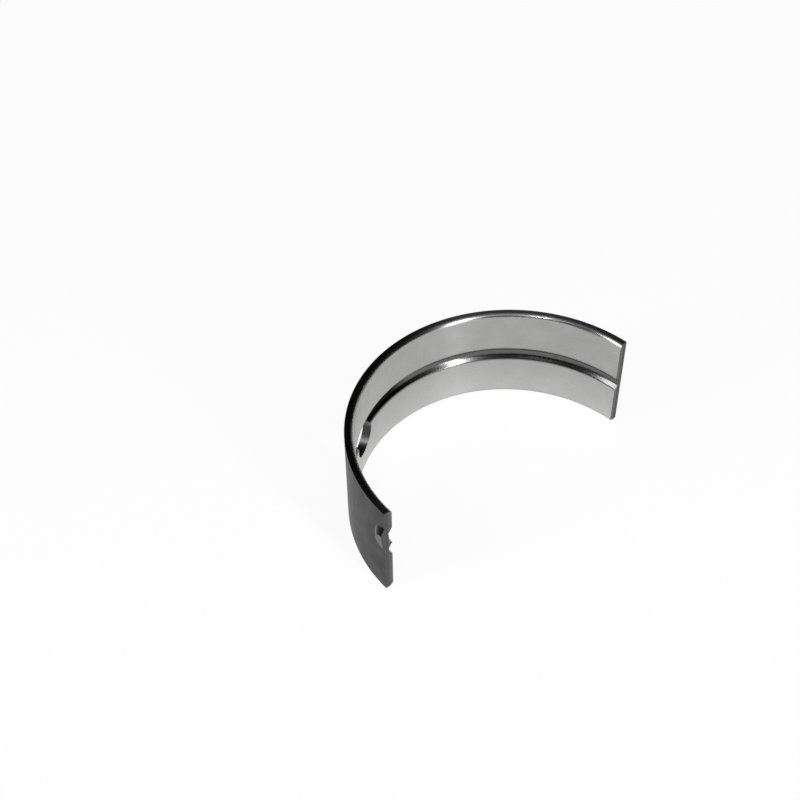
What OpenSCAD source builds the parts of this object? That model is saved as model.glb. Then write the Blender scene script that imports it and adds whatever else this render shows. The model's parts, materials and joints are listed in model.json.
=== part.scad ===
// Half shell of a plain engine bearing: a thin half ring bored to run on a journal, with an oil groove
// round the middle of its bore, an oil hole through its wall and a locating lug pressed out at one joint face.
// Z is the bearing's axis and Z = 0 the middle of its width. The crown points along +Y, the lug end along -X.

/* [Shell] */
// Bore of the housing that the shell is clamped in
housing_d = 88; // [60:1:130]
// How much wider than the housing the free shell springs open
free_spread = 2.1; // [0:0.1:3]
// Thickness of the wall
wall = 2.45; // [1.8:0.05:4]
// Width along the bearing's axis
width = 30.6; // [24:0.1:50]

/* [Rims] */
// Radius that rounds both rims of the bore
bore_round = 1.2; // [0.3:0.1:1.4]
// Chamfer along both rims of the back
back_chamfer = 0.12; // [0.05:0.01:0.4]

/* [Oil groove] */
// Width of the groove at the running face
groove_w = 4.5; // [2:0.1:6]
// Depth of the groove under the running face
groove_depth = 1.2; // [0.5:0.05:1.5]

/* [Oil hole] */
// Diameter of the hole
hole_d = 10.6; // [4:0.1:14]
// Turn of the hole from the crown towards the lug end
hole_turn = 30; // [0:1:55]
// Drop of the hole's centre below the middle of the width
hole_drop = 3.4; // [0:0.1:4]

/* [Locating lug] */
// Height of the lug above the back, and depth of the nick behind it
lug_height = 1.05; // [0.8:0.05:1.4]
// Distance from the middle of the width to the lug's axis
lug_place = 5.1; // [4.5:0.1:6]
// Diameter of the nick's floor
lug_flat = 3.4; // [2:0.1:4]
// Slope of the flank round the lug, in degrees
lug_flank = 39.5; // [30:0.5:50]
// Lean of the lug towards the groove, in degrees
lug_lean = 5; // [0:0.5:8]

/* [Hidden] */
$fn = 180;

// The free shell is an arc of the same length as half the housing's bore, on a larger radius
back_r = (housing_d + free_spread) / 2;
bore_r = back_r - wall;
arc = 180 * housing_d / (housing_d + free_spread);
plain_joint = 90 - arc / 2;
lug_joint = 90 + arc / 2;

// Radius of the round cutter that leaves the groove's width and depth
groove_r = (groove_w * groove_w / 4 + groove_depth * groove_depth) / (2 * groove_depth);

// Depth of the centre of the rims' round, which meets the faces beside it at a small angle
round_break = 5;
round_in = bore_round * cos(round_break);

// Reach of a cutter or a root past the surface that it crosses
reach = 2 * wall;

// Solid sector with the shell's back and the chamfers of its outer rims
module back_sector() {
    rotate([0, 0, plain_joint])
        rotate_extrude(angle = arc)
            polygon([
                [bore_r - reach, -width / 2],
                [back_r - back_chamfer, -width / 2],
                [back_r, back_chamfer - width / 2],
                [back_r, width / 2 - back_chamfer],
                [back_r - back_chamfer, width / 2],
                [bore_r - reach, width / 2]
            ]);
}

// Half section of the bore's mouth, flaring over the round of the upper rim
module bore_mouth() {
    difference() {
        translate([0, width / 2 - round_in])
            square([bore_r + round_in, round_in + reach]);
        translate([bore_r + round_in, width / 2 - round_in])
            circle(r = bore_round);
    }
}

// Round space of the bore, with a mouth at each end and the groove round its middle
module bore_space() {
    rotate_extrude() {
        translate([0, -width / 2 - reach])
            square([bore_r, width + 2 * reach]);
        translate([bore_r + groove_depth - groove_r, 0])
            circle(r = groove_r);
        for (end = [0, 1])
            mirror([0, end])
                bore_mouth();
    }
}

// Hole drilled along a radius
module oil_hole() {
    rotate([0, 0, 90 + hole_turn])
        translate([0, 0, -hole_drop])
            rotate([0, 90, 0])
                cylinder(d = hole_d, h = back_r + reach);
}

// Blunt cone that the lug's punch gives to the surface that lies the given depth outside the bore: X outwards,
// Y past the joint face, Z along the axis. Its axis lies in the joint face, so that half of it stays on the shell.
// The cone widens with depth, so that its flank keeps the wall's thickness.
module lug_form(depth) {
    flat_r = lug_flat / 2 + depth * tan(lug_flank / 2);
    root_r = flat_r + (lug_height + wall) / tan(lug_flank);
    translate([bore_r + depth, 0, lug_place])
        rotate([0, 90 + lug_lean, 0])
            translate([0, 0, -wall])
                rotate([0, 0, 90])
                    cylinder(h = lug_height + wall, r1 = root_r, r2 = flat_r);
}

// Space past the joint face, where the lug is trimmed flush
module past_lug_joint() {
    translate([bore_r - reach, 0, -width / 2])
        cube([wall + 2 * reach, 2 * reach, width]);
}

// The whole shell, formed from one strip: steel back with a bored lining on its inside
module bearing_shell() {
    color([0.62, 0.62, 0.61])
        difference() {
            union() {
                back_sector();
                rotate([0, 0, lug_joint])
                    lug_form(wall);
            }
            bore_space();
            oil_hole();
            rotate([0, 0, lug_joint]) {
                lug_form(0);
                past_lug_joint();
            }
        }
}

bearing_shell();
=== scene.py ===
import json
import math
import bpy
from mathutils import Matrix, Vector


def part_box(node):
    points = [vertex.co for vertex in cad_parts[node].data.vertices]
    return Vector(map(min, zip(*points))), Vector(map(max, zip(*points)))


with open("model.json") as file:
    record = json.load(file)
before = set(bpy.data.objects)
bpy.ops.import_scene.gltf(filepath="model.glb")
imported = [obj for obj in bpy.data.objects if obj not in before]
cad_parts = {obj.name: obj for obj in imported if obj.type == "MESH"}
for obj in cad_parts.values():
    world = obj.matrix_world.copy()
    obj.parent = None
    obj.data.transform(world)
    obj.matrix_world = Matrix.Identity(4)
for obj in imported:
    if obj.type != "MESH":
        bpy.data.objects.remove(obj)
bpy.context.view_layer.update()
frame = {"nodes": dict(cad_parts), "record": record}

# Steel back
# Half of a plain crankshaft bearing starts as steel strip with soft bearing metal bonded to its inner side,
# bent in a press. The back seats in the housing and is left as it came. Its thin film gives a dark, soft
# sheen, with faint clouds where the film is thicker and a fine grain.
MM = 0.001
film_cloud = 5.0 * MM
film_speck = 1.6 * MM
speck_share = 1.5
thick_film = 0.95
thin_film = 1.55
noise_low = 0.3
noise_high = 0.7
film_smooth = 0.36
film_rough = 0.50
grain_depth = 0.004 * MM
grain_share = 0.25


def linear(hex_colour):
    """An sRGB hex colour as linear red, green, blue and alpha."""
    parts = [int(hex_colour[i:i + 2], 16) / 255 for i in (1, 3, 5)]
    return [p / 12.92 if p <= 0.04045 else ((p + 0.055) / 1.055) ** 2.4 for p in parts] + [1.0]


def add(tree, kind, settings=None, stops=(), **links):
    """Adds a node with its settings and, on a ramp, its stops of place and hex colour. A link names an
    input, or its number after an i, and gives an output or a value."""
    node = tree.nodes.new(kind)
    for name, value in (settings or {}).items():
        setattr(node, name, value)
    for number, (place, colour) in enumerate(stops):
        if number == len(node.color_ramp.elements):
            node.color_ramp.elements.new(place)
        node.color_ramp.elements[number].position = place
        node.color_ramp.elements[number].color = linear(colour)
    for name, source in links.items():
        key = int(name[1:]) if name[0] == "i" and name[1:].isdigit() else name.replace("_", " ")
        if isinstance(source, bpy.types.NodeSocket):
            tree.links.new(source, node.inputs[key])
        else:
            node.inputs[key].default_value = source
    return node


def metal(name, **sockets):
    """A new metal with the given values on its shader, and a grain that runs round the bearing's axis. With
    it come its tree and shader, the surface's place, and that place without its height."""
    made = bpy.data.materials.new(name)
    made.use_nodes = True
    tree = made.node_tree
    tree.nodes.clear()
    shader = add(tree, "ShaderNodeBsdfPrincipled", Metallic=1.0, **sockets)
    add(tree, "ShaderNodeOutputMaterial", Surface=shader.outputs["BSDF"])
    place = add(tree, "ShaderNodeTexCoord").outputs["Object"]
    across = add(tree, "ShaderNodeVectorMath", {"operation": "MULTIPLY"}, i0=place, i1=(1, 1, 0)).outputs[0]
    around = add(tree, "ShaderNodeVectorMath", {"operation": "CROSS_PRODUCT"},
                 i0=(0, 0, 1), i1=across).outputs[0]
    tree.links.new(around, shader.inputs["Tangent"])
    return made, tree, shader, place, across


back, tree, shader, place = metal("dull_filmed_steel", Specular_Tint=linear("#DCDCDC"))[:4]
cloud = add(tree, "ShaderNodeTexNoise", Vector=place, Scale=1 / film_cloud, Detail=3.0).outputs[0]
speck = add(tree, "ShaderNodeTexNoise", Vector=place, Scale=1 / film_speck, Detail=5.0).outputs[0]
mottle = add(tree, "ShaderNodeMath", {"operation": "MULTIPLY_ADD"},
             i0=speck, i1=speck_share, i2=cloud).outputs[0]
film = add(tree, "ShaderNodeMapRange", Value=mottle, From_Min=thick_film, From_Max=thin_film).outputs[0]
film_greys = [(0.0, "#404040"), (0.5, "#4C4C4C"), (1.0, "#5A5A5A")]
film_colour = add(tree, "ShaderNodeValToRGB", stops=film_greys, Fac=film).outputs["Color"]
tree.links.new(film_colour, shader.inputs["Base Color"])
dullness = add(tree, "ShaderNodeMapRange", Value=speck, From_Min=noise_low, From_Max=noise_high,
               To_Min=film_smooth, To_Max=film_rough).outputs[0]
tree.links.new(dullness, shader.inputs["Roughness"])
grain = add(tree, "ShaderNodeBump", Strength=grain_share, Distance=grain_depth, Height=speck).outputs[0]
tree.links.new(grain, shader.inputs["Normal"])

# Locating lug
# Pressed out of the strip beside one joint face, to key the shell in a notch of its housing. The die rubs
# the film off, so it is smoother steel, like the fine chamfers along the back. What faces up has painted
# shade.
shade_starts = 0.1
shade_full = 0.5
lug, tree, shader = metal("die_rubbed_steel", Roughness=0.27)[:3]
facing = add(tree, "ShaderNodeNewGeometry").outputs["Normal"]
facing_up = add(tree, "ShaderNodeSeparateXYZ", Vector=facing).outputs["Z"]
# Painted shade: the colour darkens the more a face looks up.
lug_painted_shade = add(tree, "ShaderNodeMapRange", Value=facing_up,
            From_Min=shade_starts, From_Max=shade_full).outputs[0]
lug_greys = [(0.0, "#484848"), (1.0, "#1C1C1C")]
lug_colour = add(tree, "ShaderNodeValToRGB", stops=lug_greys, Fac=lug_painted_shade).outputs["Color"]
tree.links.new(lug_colour, shader.inputs["Base Color"])

# Running face
# Soft bearing metal on the inside, fine-bored to size. The tool's marks run round the bore and are drawn
# coarser than real, 0.5 mm apart. They smear reflections along the axis, so the face is a pale satin. Its
# colour has painted light, paler towards its foot, and painted shade just above the oil groove's upper edge.
low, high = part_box("bearing_shell")
half_width = (high.z - low.z) / 2
groove_w = 4.5 * MM
mark_gap = 0.5 * MM
mark_share = 0.15
face_cloud = 7.0 * MM
foot_height = 2.0 * MM
foot_light_share = 1.6
dark_tone = 0.4
pale_tone = 2.6
edge_roll = 0.5 * MM
mark_smooth = 0.255
mark_rough = 0.275
lining, tree, shader, place = metal(
    "fine_bored_bearing_metal", Anisotropic=0.81, Anisotropic_Rotation=0.25)[:4]
height = add(tree, "ShaderNodeSeparateXYZ", Vector=place).outputs["Z"]
marks = add(tree, "ShaderNodeTexNoise", {"noise_dimensions": "1D"},
            W=height, Scale=1 / mark_gap, Detail=2.0).outputs[0]
cloud = add(tree, "ShaderNodeTexNoise", Vector=place, Scale=1 / face_cloud, Detail=2.0).outputs[0]
bored = add(tree, "ShaderNodeMath", {"operation": "MULTIPLY_ADD"},
            i0=marks, i1=mark_share, i2=cloud).outputs[0]
# Painted light: the colour grows paler towards the foot of the face.
painted_foot_light = add(tree, "ShaderNodeMapRange", Value=height, From_Min=foot_height - half_width, From_Max=0.0,
           To_Min=foot_light_share, To_Max=0.0).outputs[0]
tone = add(tree, "ShaderNodeMath", {"operation": "ADD"}, i0=bored, i1=painted_foot_light).outputs[0]
paleness = add(tree, "ShaderNodeMapRange", Value=tone, From_Min=dark_tone, From_Max=pale_tone).outputs[0]
face_greys = [(0.0, "#A3A3A2"), (0.27, "#ACACAB"), (1.0, "#C0C0BE")]
face_colour = add(tree, "ShaderNodeValToRGB", stops=face_greys, Fac=paleness).outputs["Color"]
# Painted shade: a darker band just above the groove's upper edge, on the upper side only.
shade_by_groove = add(tree, "ShaderNodeMapRange", Value=height, From_Min=groove_w / 2,
                From_Max=groove_w / 2 + edge_roll, To_Min=1.0, To_Max=0.0).outputs[0]
upper_side = add(tree, "ShaderNodeMath", {"operation": "GREATER_THAN"}, i0=height, i1=0.0).outputs[0]
lip_band = add(tree, "ShaderNodeMath", {"operation": "MULTIPLY"}, i0=shade_by_groove, i1=upper_side).outputs[0]
lip_shade_colour = add(tree, "ShaderNodeMix", {"data_type": "RGBA"},
                    i0=lip_band, i6=face_colour, i7=linear("#747474"))
tree.links.new(lip_shade_colour.outputs[2], shader.inputs["Base Color"])
satin = add(tree, "ShaderNodeMapRange", Value=marks, From_Min=noise_low, From_Max=noise_high,
            To_Min=mark_smooth, To_Max=mark_rough).outputs[0]
tree.links.new(satin, shader.inputs["Roughness"])

# Rims of the bore
# Both rims are rounded over by a form tool, which cuts through the thin lining into the steel. The lining's
# edge shines most, and the steel beyond it is darker and duller.
round_r = 1.2 * MM
round_meets = math.radians(5)
round_in = round_r * math.cos(round_meets)
lining_depth = 0.45 * MM
lining_fade = 0.12
lining_rough = 0.26
steel_rough = 0.38


def round_normal(tree, across, height, start, radius, most, sense):
    """The normal of a round swept round the axis, and its lean. The lean is told from how far a place lies
    past the height of the round's centres, on either side of the middle, and goes up to the most that is
    given. If sense is -1 the normal leans back to the middle."""
    outwards = add(tree, "ShaderNodeVectorMath", {"operation": "NORMALIZE"}, i0=across).outputs[0]
    from_middle = add(tree, "ShaderNodeMath", {"operation": "ABSOLUTE"}, i0=height).outputs[0]
    lean = add(tree, "ShaderNodeMapRange", Value=from_middle, From_Min=start, From_Max=start + most * radius,
               To_Min=0.0, To_Max=most).outputs[0]
    side = add(tree, "ShaderNodeMath", {"operation": "SIGN"}, i0=height).outputs[0]
    rise = add(tree, "ShaderNodeMath", {"operation": "MULTIPLY"}, i0=lean, i1=side).outputs[0]
    angle = add(tree, "ShaderNodeMath", {"operation": "ARCSINE"}, i0=lean).outputs[0]
    run = add(tree, "ShaderNodeMath", {"operation": "COSINE"}, i0=angle).outputs[0]
    flat = add(tree, "ShaderNodeVectorMath", {"operation": "SCALE"}, i0=outwards, Scale=run).outputs[0]
    up = add(tree, "ShaderNodeCombineXYZ", Z=rise).outputs[0]
    turned = add(tree, "ShaderNodeVectorMath", {"operation": "SCALE"}, i0=up, Scale=sense).outputs[0]
    normal = add(tree, "ShaderNodeVectorMath", {"operation": "SUBTRACT"}, i0=turned, i1=flat).outputs[0]
    return normal, lean


rims, tree, shader, place, across = metal("form_turned_rim", Anisotropic=0.8, Anisotropic_Rotation=0.25)
height = add(tree, "ShaderNodeSeparateXYZ", Vector=place).outputs["Z"]
rounded, lean = round_normal(tree, across, height, half_width - round_in, round_r, 1.0, 1.0)
tree.links.new(rounded, shader.inputs["Normal"])
lining_ends = math.sqrt(1 - ((round_in - lining_depth) / round_r) ** 2)
steel = add(tree, "ShaderNodeMapRange", Value=lean, From_Min=lining_ends - lining_fade,
            From_Max=lining_ends + lining_fade).outputs[0]
rim_greys = [(0.0, "#A8A8A8"), (1.0, "#626262")]
rim_colour = add(tree, "ShaderNodeValToRGB", stops=rim_greys, Fac=steel).outputs["Color"]
tree.links.new(rim_colour, shader.inputs["Base Color"])
rim_rough = add(tree, "ShaderNodeMapRange", Value=steel, To_Min=lining_rough, To_Max=steel_rough).outputs[0]
tree.links.new(rim_rough, shader.inputs["Roughness"])

# Oil groove
# Milled with a round cutter through the lining into the steel, so it is darker than the running face, with
# paler rolled lips. Painted shade makes it near black on the crown side of the hole, and it reflects less
# there. Its shading looks up a little more than its form, and never as steeply as its walls.
groove_depth = 1.2 * MM
groove_r = (groove_w ** 2 / 4 + groove_depth ** 2) / (2 * groove_depth)
lip = 0.3 * MM
shade_rise = 0.3 * MM
shade_r = 0.92 * groove_r
steepest_shade = 0.66
mounts = {mount["name"]: mount for mount in frame["record"]["mounts"]}
hole_centre = Vector(mounts["oil_hole"]["pos_m"])
hole_axis = Vector(mounts["oil_hole"]["axis"])
shade_past_hole = 12.0 * MM
shade_core = 7.0 * MM
shade_end = 14.0 * MM
shade_centre = hole_centre + shade_past_hole * hole_axis.cross(Vector((0, 0, 1)))
groove, tree, shader, place, across = metal(
    "milled_steel_groove", Roughness=0.22, Anisotropic=0.4, Anisotropic_Rotation=0.25)
height = add(tree, "ShaderNodeSeparateXYZ", Vector=place).outputs["Z"]
shaded_height = add(tree, "ShaderNodeMath", {"operation": "SUBTRACT"}, i0=height, i1=shade_rise).outputs[0]
hollow = round_normal(tree, across, shaded_height, 0.0, shade_r, steepest_shade, -1.0)[0]
outwards = add(tree, "ShaderNodeVectorMath", {"operation": "NORMALIZE"}, i0=across).outputs[0]
inwards = add(tree, "ShaderNodeVectorMath", {"operation": "SCALE"}, i0=outwards, Scale=-1.0).outputs[0]
from_middle = add(tree, "ShaderNodeMath", {"operation": "ABSOLUTE"}, i0=height).outputs[0]
lip_band = add(tree, "ShaderNodeMapRange", Value=from_middle, From_Min=groove_w / 2 - lip,
             From_Max=groove_w / 2).outputs[0]
lipped = add(tree, "ShaderNodeMix", {"data_type": "VECTOR"}, i0=lip_band, i4=hollow, i5=inwards).outputs[1]
tree.links.new(lipped, shader.inputs["Normal"])
# Painted shade: near black around a point past the hole, with a dimmer edge tint there too.
from_shade_centre = add(tree, "ShaderNodeVectorMath", {"operation": "DISTANCE"},
                 i0=place, i1=shade_centre).outputs["Value"]
groove_painted_shade = add(tree, "ShaderNodeMapRange", Value=from_shade_centre, From_Min=shade_core, From_Max=shade_end,
            To_Min=1.0, To_Max=0.0).outputs[0]
groove_greys = [(0.0, "#646464"), (1.0, "#202020")]
groove_colour = add(tree, "ShaderNodeValToRGB", stops=groove_greys, Fac=groove_painted_shade).outputs["Color"]
lip_colour = add(tree, "ShaderNodeMix", {"data_type": "RGBA"},
                 i0=lip_band, i6=groove_colour, i7=linear("#9A9A98"))
tree.links.new(lip_colour.outputs[2], shader.inputs["Base Color"])
glance_greys = [(0.0, "#E0E0E0"), (1.0, "#404040")]
glance = add(tree, "ShaderNodeValToRGB", stops=glance_greys, Fac=groove_painted_shade).outputs["Color"]
tree.links.new(glance, shader.inputs["Specular Tint"])

# Oil hole
# Drilled through the wall on its way to the groove and deburred from the bore, which turns its shading that
# way. Its wall is plain drilled steel, painted darker in its lower half as painted shade.
hole_flare = 0.5
hole_shade_fade = 0.8 * MM
hole, tree, shader, place, across = metal("drilled_steel", Roughness=0.34)
height = add(tree, "ShaderNodeSeparateXYZ", Vector=place).outputs["Z"]
# Painted shade: the wall's colour darkens below the hole's centre.
above_hole_centre = add(tree, "ShaderNodeMapRange", Value=height, From_Min=hole_centre.z - hole_shade_fade,
          From_Max=hole_centre.z + hole_shade_fade).outputs[0]
hole_greys = [(0.0, "#444444"), (1.0, "#6C6C6C")]
hole_colour = add(tree, "ShaderNodeValToRGB", stops=hole_greys, Fac=above_hole_centre).outputs["Color"]
tree.links.new(hole_colour, shader.inputs["Base Color"])
drilled = add(tree, "ShaderNodeNewGeometry").outputs["Normal"]
outwards = add(tree, "ShaderNodeVectorMath", {"operation": "NORMALIZE"}, i0=across).outputs[0]
flare = add(tree, "ShaderNodeVectorMath", {"operation": "SCALE"}, i0=outwards, Scale=hole_flare).outputs[0]
leaning = add(tree, "ShaderNodeVectorMath", {"operation": "SUBTRACT"}, i0=drilled, i1=flare).outputs[0]
flared = add(tree, "ShaderNodeVectorMath", {"operation": "NORMALIZE"}, i0=leaning).outputs[0]
tree.links.new(flared, shader.inputs["Normal"])

# End faces
# The two flat sides of the shell's width, faced on a lathe. The very fine marks run round the axis and are
# drawn 0.3 mm apart. They leave smooth steel, which is dark unless it faces a lamp.
end_mark_gap = 0.3 * MM
ends, tree, shader, _, across = metal(
    "faced_steel", Roughness=0.34, Anisotropic=0.85, Anisotropic_Rotation=0.25)
radius = add(tree, "ShaderNodeVectorMath", {"operation": "LENGTH"}, i0=across).outputs["Value"]
marks = add(tree, "ShaderNodeTexNoise", {"noise_dimensions": "1D"},
            W=radius, Scale=1 / end_mark_gap, Detail=2.0).outputs[0]
end_greys = [(noise_low, "#606060"), (noise_high, "#6C6C6C")]
end_colour = add(tree, "ShaderNodeValToRGB", stops=end_greys, Fac=marks).outputs["Color"]
tree.links.new(end_colour, shader.inputs["Base Color"])

# Joint faces
# Broached flat to the height that gives the shell its crush in the housing. The broach's marks run along
# the axis and are drawn 0.25 mm apart. The inner edge is broken, so it is paler and turns towards the bore.
bore_r = mounts["journal_bore"]["dims"]["r_mm"] * MM
joint_mark_gap = 0.25 * MM
broken_edge = 1.3 * MM
joints, tree, shader, _, across = metal("broached_steel", Roughness=0.36, Specular_Tint=linear("#D8D8D8"))
radius = add(tree, "ShaderNodeVectorMath", {"operation": "LENGTH"}, i0=across).outputs["Value"]
marks = add(tree, "ShaderNodeTexNoise", {"noise_dimensions": "1D"},
            W=radius, Scale=1 / joint_mark_gap, Detail=2.0).outputs[0]
joint_greys = [(noise_low, "#505050"), (noise_high, "#606060")]
joint_colour = add(tree, "ShaderNodeValToRGB", stops=joint_greys, Fac=marks).outputs["Color"]
broken = add(tree, "ShaderNodeMapRange", Value=radius, From_Min=bore_r, From_Max=bore_r + broken_edge,
             To_Min=1.0, To_Max=0.0).outputs[0]
edge_colour = add(tree, "ShaderNodeMix", {"data_type": "RGBA"},
                  i0=broken, i6=joint_colour, i7=linear("#8C8C8C"))
tree.links.new(edge_colour.outputs[2], shader.inputs["Base Color"])
broached = add(tree, "ShaderNodeNewGeometry").outputs["Normal"]
outwards = add(tree, "ShaderNodeVectorMath", {"operation": "NORMALIZE"}, i0=across).outputs[0]
inwards = add(tree, "ShaderNodeVectorMath", {"operation": "SCALE"}, i0=outwards, Scale=-1.0).outputs[0]
eased = add(tree, "ShaderNodeMix", {"data_type": "VECTOR"}, i0=broken, i4=broached, i5=inwards).outputs[1]
tree.links.new(eased, shader.inputs["Normal"])

# Shell
# One solid, bent from the strip to a half ring that springs open when it is free. Each of its faces gets
# the finish of the step that made it, told from where the face lies and where it looks.
shell = frame["nodes"]["bearing_shell"]
back_r = high.y
hole_r = mounts["oil_hole"]["dims"]["r_mm"] * MM
touch = 0.03 * MM
upright = 0.02
edge_on = 0.06
finishes = {
    "back": back,
    "lug": lug,
    "lining": lining,
    "rims": rims,
    "groove": groove,
    "hole": hole,
    "ends": ends,
    "joints": joints,
}


def finish_of(face):
    """The name of the finish that a face of the shell has."""
    points = [shell.data.vertices[i].co for i in face.vertices]
    radii = [math.hypot(p.x, p.y) for p in points]
    centre = sum(points, Vector()) / len(points)
    looks_out = face.normal.dot(Vector((centre.x, centre.y, 0)).normalized())
    from_hole = [p - hole_centre for p in points]
    hole_radii = [(p - p.dot(hole_axis) * hole_axis).length for p in from_hole]
    groove_radii = [math.hypot(r - bore_r - groove_depth + groove_r, p.z) for r, p in zip(radii, points)]
    if all(abs(abs(p.z) - half_width) < touch for p in points):
        return "ends"
    if all(abs(r - bore_r) < touch for r in radii) and abs(face.normal.z) < upright:
        return "lining"
    if all(abs(r - hole_r) < touch for r in hole_radii) and abs(face.normal.dot(hole_axis)) < edge_on:
        return "hole"
    if max(radii) < bore_r + round_in + touch and abs(centre.z) > half_width - round_in:
        return "rims"
    if abs(looks_out) < edge_on and abs(face.normal.z) < upright:
        return "joints"
    if all(abs(r - groove_r) < touch for r in groove_radii) and looks_out < 0:
        return "groove"
    if looks_out < 0:
        return "lining"
    if all(abs(r - back_r) < touch for r in radii):
        return "back"
    return "lug"


shell.data.materials.clear()
for finish in finishes.values():
    shell.data.materials.append(finish)
order = list(finishes)
for face in shell.data.polygons:
    face.material_index = order.index(finish_of(face))

# Floor
# A sheet of white paper, large enough to be the whole background and turned up at its far edges. It shows
# as white to the eye and in the metal, and takes a soft shadow.
floor_reach = 3.0
turned_up = 0.3
white_share = 0.92
corners = [(-1, -1), (1, -1), (1, 1), (-1, 1)]
sides = len(corners)
sheet = [(x * floor_reach, y * floor_reach, low.z + rise) for rise in (0.0, turned_up) for x, y in corners]
edges = [(i, (i + 1) % sides, (i + 1) % sides + sides, i + sides) for i in range(sides)]
floor_mesh = bpy.data.meshes.new("floor")
floor_mesh.from_pydata(sheet, [], [tuple(range(sides))] + edges)
floor = bpy.data.objects.new("floor", floor_mesh)
bpy.context.scene.collection.objects.link(floor)
paper = bpy.data.materials.new("white_paper")
paper.use_nodes = True
tree = paper.node_tree
tree.nodes.clear()
path = add(tree, "ShaderNodeLightPath").outputs
mirrored = add(tree, "ShaderNodeMath", {"operation": "MAXIMUM"},
               i0=path["Is Camera Ray"], i1=path["Is Glossy Ray"]).outputs[0]
seen = add(tree, "ShaderNodeMath", {"operation": "MAXIMUM"},
           i0=mirrored, i1=path["Is Transmission Ray"]).outputs[0]
share = add(tree, "ShaderNodeMapRange", Value=seen, To_Max=white_share).outputs[0]
lit = add(tree, "ShaderNodeBsdfDiffuse", Color=linear("#F6F6F6")).outputs[0]
white = add(tree, "ShaderNodeEmission", Color=linear("#FFFFFF"), Strength=1.0).outputs[0]
mixed = add(tree, "ShaderNodeMixShader", i0=share, i1=lit, i2=white).outputs[0]
add(tree, "ShaderNodeOutputMaterial", Surface=mixed)
floor_mesh.materials.append(paper)

# Camera
# It looks down on the open side of the shell from the front left, at the photograph's angle and distance.
# Its place is in millimetres from the middle of the bearing's axis.
camera_place = Vector((-182.045, -158.377, 275.903)) * MM
look_down = math.radians(46.2436)
turn = math.radians(-41.7556)
roll = math.radians(-0.8447)
camera_data = bpy.data.cameras.new("camera")
camera_data.lens = 61.196
camera_data.sensor_width = 36
camera = bpy.data.objects.new("camera", camera_data)
camera.matrix_world = (Matrix.Translation(camera_place) @ Matrix.Rotation(turn, 4, "Z")
                       @ Matrix.Rotation(math.pi / 2 - look_down, 4, "X") @ Matrix.Rotation(roll, 4, "Z"))
bpy.context.scene.collection.objects.link(camera)
bpy.context.scene.camera = camera

# Lamps
# Two tall softboxes stand to the right and left of the camera, a small lamp sits just above it, and a broad
# weak one hangs over the shell. The room beyond is dark, as the darkest metal shows.
lamp_away = 1.0
aim_share = 0.45
aim = Vector((0.0, aim_share * back_r, 0.0))
lamps = [
    # name, azimuth and elevation in degrees, width and height in metres, radiance
    ("softbox_right", -94.0, 28.0, 0.11, 1.0, 25.0),
    ("softbox_left", 160.5, 24.0, 0.19, 0.84, 8.0),
    ("small_lamp", -149.0, 56.0, 0.10, 0.10, 50.0),
    ("overhead_lamp", -135.0, 80.0, 0.7, 0.7, 1.7),
]
for name, azimuth, elevation, lamp_w, lamp_h, radiance in lamps:
    a = math.radians(azimuth)
    e = math.radians(elevation)
    way = Vector((math.cos(a) * math.cos(e), math.sin(a) * math.cos(e), math.sin(e)))
    lamp_data = bpy.data.lights.new(name, "AREA")
    lamp_data.shape = "RECTANGLE"
    lamp_data.size = lamp_w
    lamp_data.size_y = lamp_h
    lamp_data.energy = radiance * math.pi * lamp_w * lamp_h
    lamp = bpy.data.objects.new(name, lamp_data)
    lamp.location = aim + lamp_away * way
    lamp.rotation_euler = way.to_track_quat("Z", "Y").to_euler()
    bpy.context.scene.collection.objects.link(lamp)

world = bpy.data.worlds.new("dark_room")
world.use_nodes = True
world.node_tree.nodes["Background"].inputs["Color"].default_value = linear("#202020")
world.node_tree.nodes["Background"].inputs["Strength"].default_value = 1.0
bpy.context.scene.world = world
bpy.context.scene.view_settings.view_transform = "Standard"
